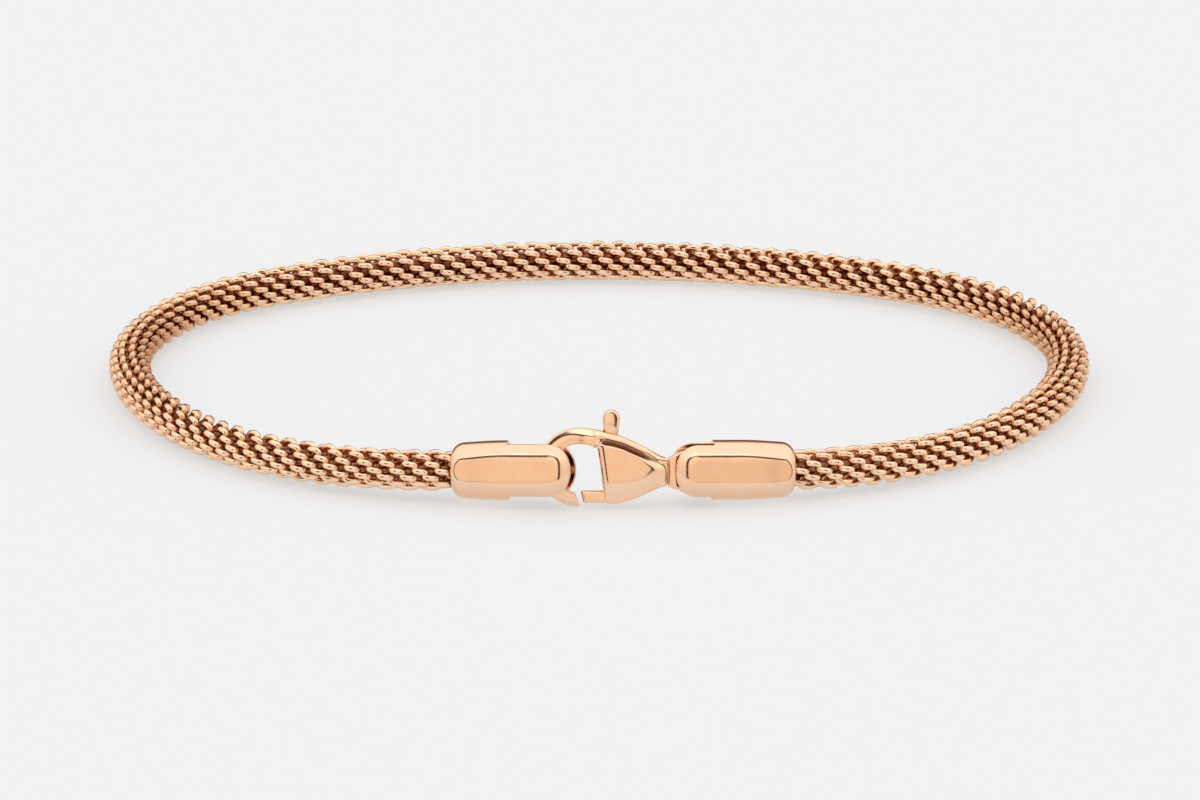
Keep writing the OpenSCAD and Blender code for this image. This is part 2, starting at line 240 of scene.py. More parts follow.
class Graph:
    """A node tree under construction, for a material or for Geometry Nodes."""

    number_math = "ShaderNodeMath"
    vector_math = "ShaderNodeVectorMath"

    def __init__(self, tree: bpy.types.NodeTree) -> None:
        """Keeps the tree."""
        self.tree = tree

    def node(
        self,
        kind: str,
        settings: dict[str, object] | None = None,
        values: dict[object, object] | None = None,
        out: object = 0,
        vector: bool = False,
    ) -> Sock | None:
        """Adds a node of any type.

        Args:
            kind: The node's type.
            settings: Its properties, set before its sockets. "stops" are a colour ramp's (place, colour).
            values: Values or links by socket number or name.
            out: The output that is wanted.
            vector: Whether that output is used as a vector.

        Returns:
            The wanted output, or None where the node has no outputs.
        """
        made = self.tree.nodes.new(kind)
        for name, value in (settings or {}).items():
            if name == "stops":
                ramp = made.color_ramp
                while len(ramp.elements) < len(value):
                    ramp.elements.new(0.5)
                for element, (place, colour) in zip(ramp.elements, value):
                    element.position = place
                    element.color = (*colour, 1.0)
            else:
                setattr(made, name, value)
        for name, value in (values or {}).items():
            socket = made.inputs[name]
            if isinstance(value, Sock):
                self.tree.links.new(value.socket, socket)
            else:
                socket.default_value = value
        return Sock(self, made.outputs[out], vector) if made.outputs else None

    def function(self, operation: str, *operands: object) -> Sock:
        """Adds a Math node for an operation that has no sign, such as a sine."""
        return self.node(self.number_math, {"operation": operation}, dict(enumerate(operands)))

    def vector_function(self, operation: str, *operands: object) -> Sock:
        """Adds a Vector Math node for an operation that has no sign, such as a cross product."""
        return self.node(self.vector_math, {"operation": operation}, dict(enumerate(operands)), vector=True)

    def ramp(self, stops: Stops, share: Sock) -> Sock:
        """Adds a colour ramp."""
        return self.node("ShaderNodeValToRGB", {"stops": stops}, {"Fac": share}, out="Color")

    def noise(self, place: Sock, sizes: Triple) -> Sock:
        """Adds a noise with a scale, a detail and a roughness."""
        values = dict(zip(("Vector", "Scale", "Detail", "Roughness"), (place, *sizes)))
        return self.node("ShaderNodeTexNoise", {}, values)

    def ranged(self, value: Sock, low: object, high: object, top: object, kind: str = "SMOOTHSTEP") -> Sock:
        """Adds a node that takes a range of values to one from 0 to a top value."""
        values = {"Value": value, "From Min": low, "From Max": high, "To Max": top}
        return self.node("ShaderNodeMapRange", {"interpolation_type": kind}, values)

    def mix(self, share: object, first: object, second: object, blend: str = "MIX") -> Sock:
        """Adds a node that mixes two colours."""
        kinds = {"data_type": "RGBA", "blend_type": blend}
        return self.node("ShaderNodeMix", kinds, {"Factor": share, 6: first, 7: second}, out=2)

    def marked(self, geometry: Sock, value: object) -> Sock:
        """Adds a node that keeps how deep in shade each point lies, for the materials.

        Args:
            geometry: The geometry.
            value: The shade at each point.

        Returns:
            The marked geometry.
        """
        kinds = {"data_type": "FLOAT", "domain": "POINT"}
        values = {"Geometry": geometry, "Name": "recess", "Value": value}
        return self.node("GeometryNodeStoreNamedAttribute", kinds, values)

    def rod(self, curve: Sock, sides: Sock, radius: Sock) -> Sock:
        """Adds a round rod along a curve.

        Args:
            curve: The curve.
            sides: The number of sides.
            radius: The rod's radius.

        Returns:
            The rod.
        """
        outline = self.node(
            "GeometryNodeCurvePrimitiveCircle", {"mode": "RADIUS"}, {"Resolution": sides, "Radius": radius}
        )
        values = {"Curve": curve, "Profile Curve": outline, "Fill Caps": True}
        return self.node("GeometryNodeCurveToMesh", {}, values)

    def end_surface(self, values: dict[str, object]) -> None:
        """Ends a material with a surface of the given look."""
        shader = self.node("ShaderNodeBsdfPrincipled", {}, values, out="BSDF")
        self.node("ShaderNodeOutputMaterial", {}, {"Surface": shader})


def new_graph(owner: bpy.types.Material | bpy.types.World) -> Graph:
    """Gives a material or a world an empty node tree.

    Args:
        owner: The material or world.

    Returns:
        The tree's graph.
    """
    owner.use_nodes = True
    owner.node_tree.nodes.clear()
    return Graph(owner.node_tree)


def new_tree(name: str, values: dict[str, object]) -> tuple[Graph, Callable[[str], Sock]]:
    """Starts a Geometry Nodes tree that takes a geometry and named inputs.

    Args:
        name: The tree's name.
        values: Its inputs besides the geometry, each with a value of its kind.

    Returns:
        The tree's graph, and a function that gives an input by its name.
    """
    tree = bpy.data.node_groups.new(name, "GeometryNodeTree")
    tree.is_modifier = True
    tree.interface.new_socket("Geometry", in_out="INPUT", socket_type="NodeSocketGeometry")
    kinds = {int: "NodeSocketInt", float: "NodeSocketFloat", bpy.types.Material: "NodeSocketMaterial"}
    for label, value in values.items():
        tree.interface.new_socket(label, in_out="INPUT", socket_type=kinds[type(value)])
    tree.interface.new_socket("Geometry", in_out="OUTPUT", socket_type="NodeSocketGeometry")
    graph = Graph(tree)
    given = graph.node("NodeGroupInput").socket.node.outputs
    return graph, lambda label: Sock(graph, given[label])


def end_tree(graph: Graph, geometry: Sock, finish: Sock) -> bpy.types.NodeTree:
    """Ends a Geometry Nodes tree with real geometry that has a material.

    Args:
        graph: The tree's graph.
        geometry: What the tree has made.
        finish: Its material.

    Returns:
        The tree.
    """
    real = graph.node("GeometryNodeRealizeInstances", {}, {"Geometry": geometry})
    dressed = graph.node("GeometryNodeSetMaterial", {}, {"Geometry": real, "Material": finish})
    graph.node("NodeGroupOutput", {}, {"Geometry": dressed})
    return graph.tree


@dataclass(frozen=True)
class RoseGold:
    """Rose gold finish: a faint cloudy colour, polish that varies, fine polishing lines, and painted shade
    that darkens recesses.
    """

    name: str
    colour: Triple = (0.965, 0.665, 0.46)
    deep_colour: Triple = (0.955, 0.63, 0.42)
    roughness: float = 0.13
    roughness_spread: float = 0.07
    # Noises: scale, detail, roughness
    cloud: Triple = (900.0, 3.0, 0.55)
    lines: Triple = (9000.0, 2.0, 0.6)
    line_stretch: Triple = (0.06, 1.0, 1.0)
    line_depth: float = 0.04
    line_height: float = 0.00002
    # Painted shade: the colour that recesses darken towards, over this range of the recess mark
    recess_shade_colour: Triple | None = None
    recess_from: float = 0.3
    recess_to: float = 0.85
    # Painted reflection: a warm tint of light bounced between the wires, strongest in half shade
    bounce_tint: Triple = (1.0, 1.0, 1.0)

    def make(self) -> bpy.types.Material:
        """Builds the material.

        Returns:
            The new material.
        """
        made = bpy.data.materials.new(self.name)
        graph = new_graph(made)
        place = graph.node("ShaderNodeTexCoord", out="Object", vector=True)
        cloud = graph.noise(place, self.cloud)
        stretch = {"Vector": place, "Scale": self.line_stretch}
        lines = graph.noise(graph.node("ShaderNodeMapping", {}, stretch, vector=True), self.lines)
        colour = graph.ramp(tuple(zip(NOISE_RANGE, (self.colour, self.deep_colour))), cloud)
        # Painted shade: points marked as lying deep in a recess are mixed towards the shade colour
        if self.recess_shade_colour:
            kinds = {"attribute_type": "GEOMETRY", "attribute_name": "recess"}
            inner = graph.node("ShaderNodeAttribute", kinds, out="Fac")
            shade = graph.ranged(inner, self.recess_from, self.recess_to, 1.0)
            colour = graph.mix(shade, colour, (*self.recess_shade_colour, 1.0))
            # Painted reflection: the colour is warmed in half shade, as by light bounced between the wires
            halfway = 4.0 * shade * (1.0 - shade)  # Full in half shade, nothing in light and in full shade
            colour = graph.mix(halfway, colour, (*self.bounce_tint, 1.0), "MULTIPLY")
        rough = self.roughness + (cloud - 0.5) * self.roughness_spread + (lines - 0.5) * self.roughness_spread
        scratch = {"Height": lines, "Strength": self.line_depth, "Distance": self.line_height}
        bump = graph.node("ShaderNodeBump", {}, scratch, out="Normal", vector=True)
        graph.end_surface({"Base Color": colour, "Metallic": 1.0, "Roughness": rough, "Normal": bump})
        return made


@dataclass(frozen=True)
class PaleFloor:
    """Matt pale sheet, lit a little from beneath, so that the shadows on it stay soft."""

    colour: Triple = (0.33, 0.335, 0.345)
    roughness: float = 0.9
    shine: float = 0.1
    glow: float = 0.549
    # Noise: scale, detail, roughness
    grain: Triple = (900.0, 2.0, 0.5)
    grain_shade: float = 0.97

    def make(self) -> bpy.types.Material:
        """Builds the material.

        Returns:
            The new material.
        """
        made = bpy.data.materials.new("pale_floor")
        graph = new_graph(made)
        place = graph.node("ShaderNodeTexCoord", out="Object", vector=True)
        low = tuple(self.grain_shade * c for c in self.colour)
        colour = graph.ramp(tuple(zip(NOISE_RANGE, (low, self.colour))), graph.noise(place, self.grain))
        graph.end_surface({
            "Base Color": colour, "Roughness": self.roughness, "Specular IOR Level": self.shine,
            "Emission Color": (1.0, 1.0, 1.0, 1.0), "Emission Strength": self.glow,
        })
        return made


def soft_max(a: Array, b: Array, edge: float) -> Array:
    """Common space of two fields with its edge rounded over a width."""
    near = np.maximum(edge - np.abs(a - b), 0.0) / edge
    return np.maximum(a, b) + near * near * edge / 4


def soft_min(a: Array, b: Array, edge: float) -> Array:
    """Joined space of two fields with its corner filled over a width."""
    return -soft_max(-a, -b, edge)


def new_object(name: str, data: bpy.types.ID) -> bpy.types.Object:
    """Puts an object into the scene.

    Args:
        name: Its name.
        data: Its mesh or camera data.

    Returns:
        The object.
    """
    made = bpy.data.objects.new(name, data)
    bpy.context.scene.collection.objects.link(made)
    return made


def new_mesh(name: str, points: Array, edges: Links, faces: Links, marks: dict[str, Array]) -> bpy.types.Mesh:
    """Makes a mesh.

    Args:
        name: Its name.
        points: Its points, in millimetres.
        edges: Its loose edges.
        faces: Its faces.
        marks: Numbers to keep at each point, by name.

    Returns:
        The mesh.
    """
    mesh = bpy.data.meshes.new(name)
    mesh.from_pydata((points * MM).tolist(), edges, faces)
    for label, values in marks.items():
        layer = mesh.attributes.new(label, "FLOAT", "POINT")
        layer.data.foreach_set("value", values.astype(np.float32))
    return mesh


def parts_of(points: Array) -> tuple[Array, Array, Array]:
    """Splits points into their three coordinates."""
    return points[..., 0], points[..., 1], points[..., 2]


def ease(share: Array) -> Array:
    """Holds a share between 0 and 1 and eases it at both ends."""
    held = np.clip(share, 0, 1)
    return held * held * (3 - 2 * held)


def eased_rows(rows: Rows, between: int = 8) -> Array:
    """Puts further rows between the rows of a table, on smooth curves through them.

    Args:
        rows: The table, whose first column rises.
        between: Rows for each step of the table.

    Returns:
        The finer table.
    """
    table = np.array(rows, float)
    x = table[:, 0]
    rise = np.gradient(table, x, axis=0)
    out = [table[0]]
    for i in range(len(table) - 1):
        span = x[i + 1] - x[i]
        for t in np.linspace(0, 1, between + 1)[1:]:
            a, b = (1 + 2 * t) * (1 - t) ** 2, t * t * (3 - 2 * t)
            c, d = t * (1 - t) ** 2 * span, t * t * (t - 1) * span
            out.append(a * table[i] + b * table[i + 1] + c * rise[i] + d * rise[i + 1])
    made = np.array(out)
    even = (np.linspace(p, q, between + 1)[1:] for p, q in zip(x[:-1], x[1:]))
    made[:, 0] = np.concatenate([[x[0]], *even])
    return made


def row_at(rows: Array, at: Array) -> list[Array]:
    """Values of a table's other columns where its first column has the given values."""
    held = np.clip(at, rows[0, 0], rows[-1, 0])
    return [np.interp(held, rows[:, 0], column) for column in rows[:, 1:].T]


def polygon_field(corners: Array, u: Array, v: Array) -> Array:
    """Distance to a flat outline, less than zero inside it.

    Args:
        corners: The outline's corners, in order.
        u: First coordinate of the points.
        v: Second coordinate of the points.

    Returns:
        The signed distances.
    """
    best = np.full(u.shape, np.inf)
    inside = np.zeros(u.shape, bool)
    for (u0, v0), (u1, v1) in zip(corners, np.roll(corners, -1, axis=0)):
        du, dv = u1 - u0, v1 - v0
        along = np.clip(((u - u0) * du + (v - v0) * dv) / (du * du + dv * dv + TINY), 0, 1)
        best = np.minimum(best, (u - u0 - along * du) ** 2 + (v - v0 - along * dv) ** 2)
        crosses = (v0 > v) != (v1 > v)
        with np.errstate(divide="ignore", invalid="ignore"):
            at = u0 + (v - v0) * du / np.where(dv == 0, TINY, dv)
        inside ^= crosses & (u < at)
    return np.where(inside, -1.0, 1.0) * np.sqrt(best)


@dataclass
class SmoothSolid:
    """A closed surface where a field is zero, drawn on a grid, with its points then moved onto it exactly."""

    shape: Field
    low: Triple
    high: Triple
    cell: float = 0.055
    envelope: Field | None = None
    shade_depth: float = 0.5
    moves: int = 4
    probe: float = 0.004
    least_slope: float = 0.05

    def _grid(self) -> tuple[Array, Array]:
        """Lays the grid.

        Returns:
            Its points, and the field's values there.
        """
        axes = [np.arange(a, b + self.cell, self.cell) for a, b in zip(self.low, self.high)]
        points = np.stack(np.meshgrid(*axes, indexing="ij"), -1)
        return points, self.shape(points)

    def _slope(self, points: Array) -> Array:
        """Measures the field's slope.

        Args:
            points: Where it is wanted.

        Returns:
            The slope at each point, as a vector.
        """
        parts = []
        for axis in range(3):
            shift = np.zeros(3)
            shift[axis] = self.probe
            parts.append((self.shape(points + shift) - self.shape(points - shift)) / (2 * self.probe))
        return np.stack(parts, -1)

    def surface(self) -> tuple[Array, Array, Array]:
        """Draws the surface.

        Returns:
            Its points, its four-sided faces and the outward direction at each point.
        """
        points, values = self._grid()
        inside = values < 0
        cells = tuple(n - 1 for n in values.shape)
        total = np.zeros((*cells, 3))
        count = np.zeros(cells)
        crossings = []
        for axis in range(3):
            one, two = (axis + 1) % 3, (axis + 2) % 3

            def part(taken: dict[int, slice]) -> tuple[slice, ...]:
                """Takes only some slices of the grid along some of its axes."""
                return tuple(taken.get(k, slice(None)) for k in range(3))

            lower, upper = part({axis: slice(-1)}), part({axis: slice(1, None)})
            a, b = values[lower], values[upper]
            cross = inside[lower] != inside[upper]
            share = np.where(cross, a / np.where(cross, a - b, 1.0), 0.0)
            spot = points[lower] + share[..., None] * (points[upper] - points[lower])
            spot *= cross[..., None]
            for i, j in np.ndindex(2, 2):
                take = part({one: slice(i, i + cells[one]), two: slice(j, j + cells[two])})
                total += spot[take]
                count += cross[take]
            crossings.append((one, two, cross, inside[lower]))
        used = count > 0
        number = np.full(cells, -1)
        number[used] = np.arange(used.sum())
        corners = total[used] / count[used][:, None]
        faces = []
        for one, two, cross, from_inside in crossings:
            where = np.argwhere(cross)
            for side in (one, two):
                where = where[(where[:, side] > 0) & (where[:, side] < cells[side])]
            ring = []
            for i, j in ((1, 1), (0, 1), (0, 0), (1, 0)):
                cell = where.copy()
                cell[:, one] -= i
                cell[:, two] -= j
                ring.append(number[tuple(cell.T)])
            ring = np.stack(ring, -1)
            outward = from_inside[tuple(where.T)]
            faces.append(np.where(outward[:, None], ring, ring[:, ::-1]))
        for _ in range(self.moves):
            slope = self._slope(corners)
            size = np.maximum((slope * slope).sum(-1), self.least_slope)
            shift = -(self.shape(corners) / size)[:, None] * slope
            far = np.linalg.norm(shift, axis=-1, keepdims=True)
            corners = corners + shift * np.minimum(1.0, self.cell / np.maximum(far, TINY))
        slope = self._slope(corners)
        out = slope / np.maximum(np.linalg.norm(slope, axis=-1, keepdims=True), TINY)
        return corners, np.concatenate(faces), out

    def build(self, name: str, place: Place) -> bpy.types.Object:
        """Makes the object.

        Args:
            name: The piece's name.
            place: Where its drawing stands.

        Returns:
            The new object.
        """
        corners, faces, out = self.surface()
        # Painted shade: points inside the envelope, in slots, holes and grooves, are marked darker the deeper
        # they lie
        depth = -self.envelope(corners) if self.envelope else np.zeros(len(corners))
        marks = {"recess": np.clip(depth / self.shade_depth, 0, 1)}
        mesh = new_mesh(name, place.out(corners), [], faces.tolist(), marks)
        mesh.validate()
        mesh.polygons.foreach_set("use_smooth", np.ones(len(mesh.polygons), bool))
        mesh.normals_split_custom_set_from_vertices(place.direction(out).tolist())
        return new_object(name, mesh)


@dataclass
class Loop:
    """Course of the woven tube: on each side a straight run, two bends and a flat back arc."""

    fit: Fit
    front_run: float = 12.45
    front_bend: Pair = (24.6, 89.0)
    back_bend: Pair = (18.9, 152.0)
    rest_height: float = 1.42
    inside_caps: float = 1.0
    first_inside: float = 0.2
    steps_inside: int = 5

    def _half(self, s: float) -> Pair:
        """Follows the right half of the loop.

        Args:
            s: Distance from the front's middle.

        Returns:
            X and Y there.
        """
        heading = self.fit.front_yaw
        run = min(s, self.front_run)
        x = run * cosd(heading)
        y = run * sind(heading) - self.fit.front_reach
        left = s - run
        for radius, end in (self.front_bend, self.back_bend, (None, 180.0)):
            if radius is None:  # The back arc has its centre on the middle line
                radius = x / sind(heading)
            to = min(end, heading + math.degrees(left / radius))
            x += radius * (sind(to) - sind(heading))
            y += radius * (cosd(heading) - cosd(to))
            left -= radius * math.radians(to - heading)
            heading = to
        return x, y

    def half_length(self) -> float:
        """Measures one half of the loop.

        Returns:
            Its length, through the clasp.
        """
        yaw = self.fit.front_yaw
        first = self.front_bend[0] * math.radians(self.front_bend[1] - yaw)
        second = self.back_bend[0] * math.radians(self.back_bend[1] - self.front_bend[1])
        x, _ = self._half(self.front_run + first + second)
        back = x / sind(self.back_bend[1]) * math.radians(180 - self.back_bend[1])
        return self.front_run + first + second + back

    def _height(self, away: float, mouth: float) -> float:
        """Lets the tube sink from a mouth to the ground.

        Args:
            away: Distance from the mouth.
            mouth: The mouth's height.

        Returns:
            Height of the tube's centre.
        """
        drop = mouth - self.rest_height
        run = 2 * drop / math.tan(math.radians(self.fit.cap_pitch))
        return self.rest_height + drop * max(0.0, 1 - away / run) ** 2

    def course(self, count: int = 900) -> tuple[Array, Array]:
        """Points along the tube from inside the left cap to inside the right one.

        Args:
            count: The number of points between the two mouths.

        Returns:
            The points, and at each the distance along the tube from the left mouth.
        """
        yaw = cosd(self.fit.front_yaw)
        left_s, right_s = self.fit.left_mouth[0] / yaw, self.fit.right_mouth[0] / yaw
        half = self.half_length()
        length = 2 * half - left_s - right_s
        points, along = [], []
        inside = np.linspace(self.inside_caps, self.first_inside, self.steps_inside)
        for x in inside:
            points.append(self.fit.left_cap().out(np.array([x, 0, 0])))
            along.append(-x)
        for q in np.linspace(0.0, length, count):
            if q < half - left_s:
                x, y = self._half(left_s + q)
                points.append(np.array([-x, y, self._height(q, self.fit.left_mouth[1])]))
            else:
                x, y = self._half(right_s + length - q)
                points.append(np.array([x, y, self._height(length - q, self.fit.right_mouth[1])]))
            along.append(q)
        for x in inside[::-1]:
            points.append(self.fit.right_cap().out(np.array([x, 0, 0])))
            along.append(length + x)
        return np.array(points), np.array(along)


@dataclass
class WovenTube:
    """Tube of one long wire coil that winds round the course, each ring hooked into the one before."""

    loop: Loop
    finish: RoseGold
    width: float = 2.98
    height: float = 2.84
    end_width: float = 2.48
    neck: float = 0.6
    mouth_shade: float = 0.75
    inner_shade: float = 0.27
    bend_shade: float = 0.4
    wire: float = 0.42
    coil_depth: float = 0.34
    coil_reach: float = 0.46
    lengthen: float = 0.34
    long_at: float = -85.0
    coil_squareness: float = 0.035
    coil_lean: float = 0.6
    ring_step: float = 0.77
    turns_round: float = 6.5
    row_at: float = 15.5
    crowd: float = 0.12
    crowd_at: float = 6.0
    points_a_turn: int = 22
    wire_sides: int = 8
    # Dark rod along the tube's middle: painted shade for the inside of the hollow weave
    core_radius: float = 0.56
    core_sides: int = 20
    core_shade: float = 2.0
    parts: tuple[str, ...] = ("woven_tube_left", "woven_tube_back", "woven_tube_right")
    made: list[bpy.types.Object] = field(default_factory=list)

    def _tree(self, values: dict[str, object]) -> bpy.types.NodeTree:
        """Builds the Geometry Nodes tree of one stretch of the tube.

        Args:
            values: The tree's inputs, with lengths in metres.

        Returns:
            The tree, which also takes the course.
        """
        graph, asked = new_tree("wire_weave", values)
        course = graph.node("GeometryNodeMeshToCurve", {}, {"Mesh": asked("Geometry")})
        wire = graph.node(
            "GeometryNodeMeshLine", {"mode": "OFFSET", "count_mode": "TOTAL"},
            {"Count": asked("Points"), "Offset": (0.0, 0.0, MM)},
        )
        order = graph.node("GeometryNodeInputIndex")
        turn = asked("First Turn") + order / asked("Points a Turn")
        ring = turn / asked("Turns Round")
        along = ring * asked("Ring Step")

        def sampled(attribute: str) -> Sock:
            """Reads the course at the distance along it.

            Args:
                attribute: Name of a number that it keeps.

            Returns:
                The number.
            """
            value = graph.node("GeometryNodeInputNamedAttribute", {"data_type": "FLOAT"}, {"Name": attribute})
            return graph.node(
                "GeometryNodeSampleCurve", {"mode": "LENGTH", "data_type": "FLOAT", "use_all_curves": False},
                {"Curves": course, "Value": value, "Length": along}, out="Value",
            )

        half_width, half_height = sampled("half_width"), sampled("half_height")
        spot = half_width.socket.node.outputs
        centre, ahead = Sock(graph, spot["Position"], True), Sock(graph, spot["Tangent"], True)
        outward = graph.vector_function("NORMALIZE", graph.vector_function("CROSS_PRODUCT", (0, 0, 1), ahead))
        upward = graph.vector_function("CROSS_PRODUCT", ahead, outward)
        coil_angle = turn * (-2 * math.pi)
        leant = coil_angle - asked("Coil Lean") * graph.function("SINE", coil_angle)
        even_angle = asked("Row At") + leant / asked("Turns Round")
        crowding = graph.function("SINE", 2 * (even_angle - asked("Crowd At")))
        round_angle = even_angle - asked("Crowd") * crowding
        square = asked("Coil Squareness")
        cosine, triple_cosine = (graph.function("COSINE", times * coil_angle) for times in (1, 3))
        sine, triple_sine = (graph.function("SINE", times * coil_angle) for times in (1, 3))
        rise = (cosine - square * triple_cosine) / (1 - square)
        swing = (sine + square * triple_sine) / (1 - square)
        inset = asked("Wire Radius") + asked("Coil Depth") * (1 - rise)
        sideways = graph.function("COSINE", round_angle)
        across = (half_width - inset) * sideways
        above = (half_height - inset) * graph.function("SINE", round_angle)
        facing = graph.function("COSINE", round_angle - asked("Long At"))
        longer = 1 + asked("Lengthen") * graph.function("MAXIMUM", facing, 0.0)
        reach = asked("Coil Reach") * swing * longer
        place = centre + outward * across + upward * above + ahead * reach
        # Painted shade on the wire: darker near the mouths, on the loop's inner side, in the bends and
        # towards the inside of each coil
        sizes = (asked(label) for label in ("Half Width", "End Half Width", "Mouth Shade"))
        at_mouth = graph.ranged(half_width, *sizes, "LINEAR")
        bend = graph.node("ShaderNodeSeparateXYZ", {}, {0: ahead}, out="Y")
        inner = asked("Inner Shade") * graph.function("MAXIMUM", 0.0 - sideways, 0.0)
        shade = at_mouth + inner + asked("Bend Shade") * bend * bend
        marked = graph.marked(wire, shade + 0.5 - 0.5 * cosine)
        bent = graph.node("GeometryNodeSetPosition", {}, {"Geometry": marked, "Position": place})
        thread = graph.node("GeometryNodeMeshToCurve", {}, {"Mesh": bent})
        solid = graph.rod(thread, asked("Wire Sides"), asked("Wire Radius"))
        smooth = graph.node("GeometryNodeSetShadeSmooth", {}, {"Geometry": solid, "Shade Smooth": True})
        return end_tree(graph, smooth, asked("Finish"))

    def _core_tree(self, values: dict[str, object]) -> bpy.types.NodeTree:
        """Builds the Geometry Nodes tree of a dark rod along the tube's middle, painted shade for the inside
        of the hollow weave.

        Args:
            values: The tree's inputs, with lengths in metres.

        Returns:
            The tree, which also takes the course.
        """
        graph, asked = new_tree("weave_core", values)
        course = graph.node("GeometryNodeMeshToCurve", {}, {"Mesh": asked("Geometry")})
        solid = graph.rod(course, asked("Sides"), asked("Radius"))
        # The rod is marked deeper than full shade, so it takes the painted shade colour all over
        return end_tree(graph, graph.marked(solid, self.core_shade), asked("Finish"))

    def _course_mesh(self, name: str) -> tuple[bpy.types.Object, float]:
        """Makes the course as a line of points with the tube's half sizes on it.

        Args:
            name: The piece's name.

        Returns:
            The object and the course's length.
        """
        points, along = self.loop.course()
        length = along[-1] + along[0]
        near = np.clip(np.minimum(along, length - along) / self.neck, 0.0, 1.0)
        grown = np.sin(near * math.pi / 2)
        full = {"half_width": self.width, "half_height": self.height}
        marks = {k: (self.end_width + (v - self.end_width) * grown) / 2 * MM for k, v in full.items()}
        mesh = new_mesh(name, points, [(i, i + 1) for i in range(len(points) - 1)], [], marks)
        return new_object(name, mesh), float(np.linalg.norm(np.diff(points, axis=0), axis=1).sum())

    def build(self) -> None:
        """Winds the wire in a few stretches that meet end to end, round a dark rod that is painted shade
        inside the tube.
        """
        finish = self.finish.make()
        values = {
            "Points": 0, "First Turn": 0.0, "Points a Turn": float(self.points_a_turn),
            "Turns Round": self.turns_round, "Ring Step": self.ring_step * MM,
            "Half Width": self.width / 2 * MM, "End Half Width": self.end_width / 2 * MM,
            "Coil Depth": self.coil_depth * MM, "Coil Reach": self.coil_reach * MM,
            "Coil Lean": self.coil_lean, "Coil Squareness": self.coil_squareness,
            "Lengthen": self.lengthen, "Long At": math.radians(self.long_at),
            "Row At": math.radians(self.row_at),
            "Crowd": self.crowd, "Crowd At": math.radians(self.crowd_at),
            "Mouth Shade": self.mouth_shade, "Inner Shade": self.inner_shade, "Bend Shade": self.bend_shade,
            "Wire Radius": self.wire / 2 * MM, "Wire Sides": self.wire_sides, "Finish": finish,
        }
        tree = self._tree(values)
        for part, name in enumerate(self.parts):
            base, length = self._course_mesh(name + "_course")
            turns = int(length / self.ring_step * self.turns_round)
            share = turns // len(self.parts)
            first = part * share
            stretch = turns - first if part == len(self.parts) - 1 else share
            place = {"Points": stretch * self.points_a_turn + 1, "First Turn": float(first)}
            self._grow(name, base, tree, {**values, **place})
        base, _ = self._course_mesh("core_course")
        values = {"Radius": self.core_radius * MM, "Sides": self.core_sides, "Finish": finish}
        self._grow("woven_tube_core", base, self._core_tree(values), values)

    def _grow(
        self, name: str, base: bpy.types.Object, tree: bpy.types.NodeTree, values: dict[str, object]
    ) -> None:
        """Runs a tree on the course and keeps the result as a plain mesh.

        Args:
            name: The piece's name.
            base: The course's object, which is removed.
            tree: The Geometry Nodes tree.
            values: The tree's inputs by name.
        """
        sockets = {}
        for item in tree.interface.items_tree:
            if item.item_type == "SOCKET" and item.in_out == "INPUT":
                sockets[item.name] = item.identifier
        modifier = base.modifiers.new("weave", "NODES")
        modifier.node_group = tree
        for key, value in values.items():
            modifier[sockets[key]] = value
        graph = bpy.context.evaluated_depsgraph_get()
        mesh = bpy.data.meshes.new_from_object(base.evaluated_get(graph), depsgraph=graph)
        mesh.name = name
        if not mesh.materials:
            mesh.materials.append(values["Finish"])
        base.modifiers.clear()
        bpy.data.objects.remove(base)
        self.made.append(new_object(name, mesh))
        LOG.info("%s: %d faces", name, len(mesh.polygons))

    def dress(self) -> None:
        """Ties the stretches to the frame."""
        for made in self.made:
            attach(made, Body.BRACELET.value)
            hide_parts("mesh_rope")


@dataclass
class PolishedPiece:
    """A polished piece that stands for one solid of the frame."""

    name: str
    node: str
    finish: bpy.types.Material
    place: Place
    body: Body = Body.BRACELET
    made: bpy.types.Object | None = None

    def solid(self) -> SmoothSolid:
        """The piece's surface, which each kind of piece has its own rules for."""
        raise NotImplementedError

    def build(self) -> None:
        """Draws the piece."""
        self.made = self.solid().build(self.name, self.place)

    def dress(self) -> None:
        """Gives the piece its finish and ties it to the frame."""
        self.made.data.materials.append(self.finish)
        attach(self.made, self.body.value)
        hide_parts(self.node)
        LOG.info("%s: %d faces", self.name, len(self.made.data.polygons))


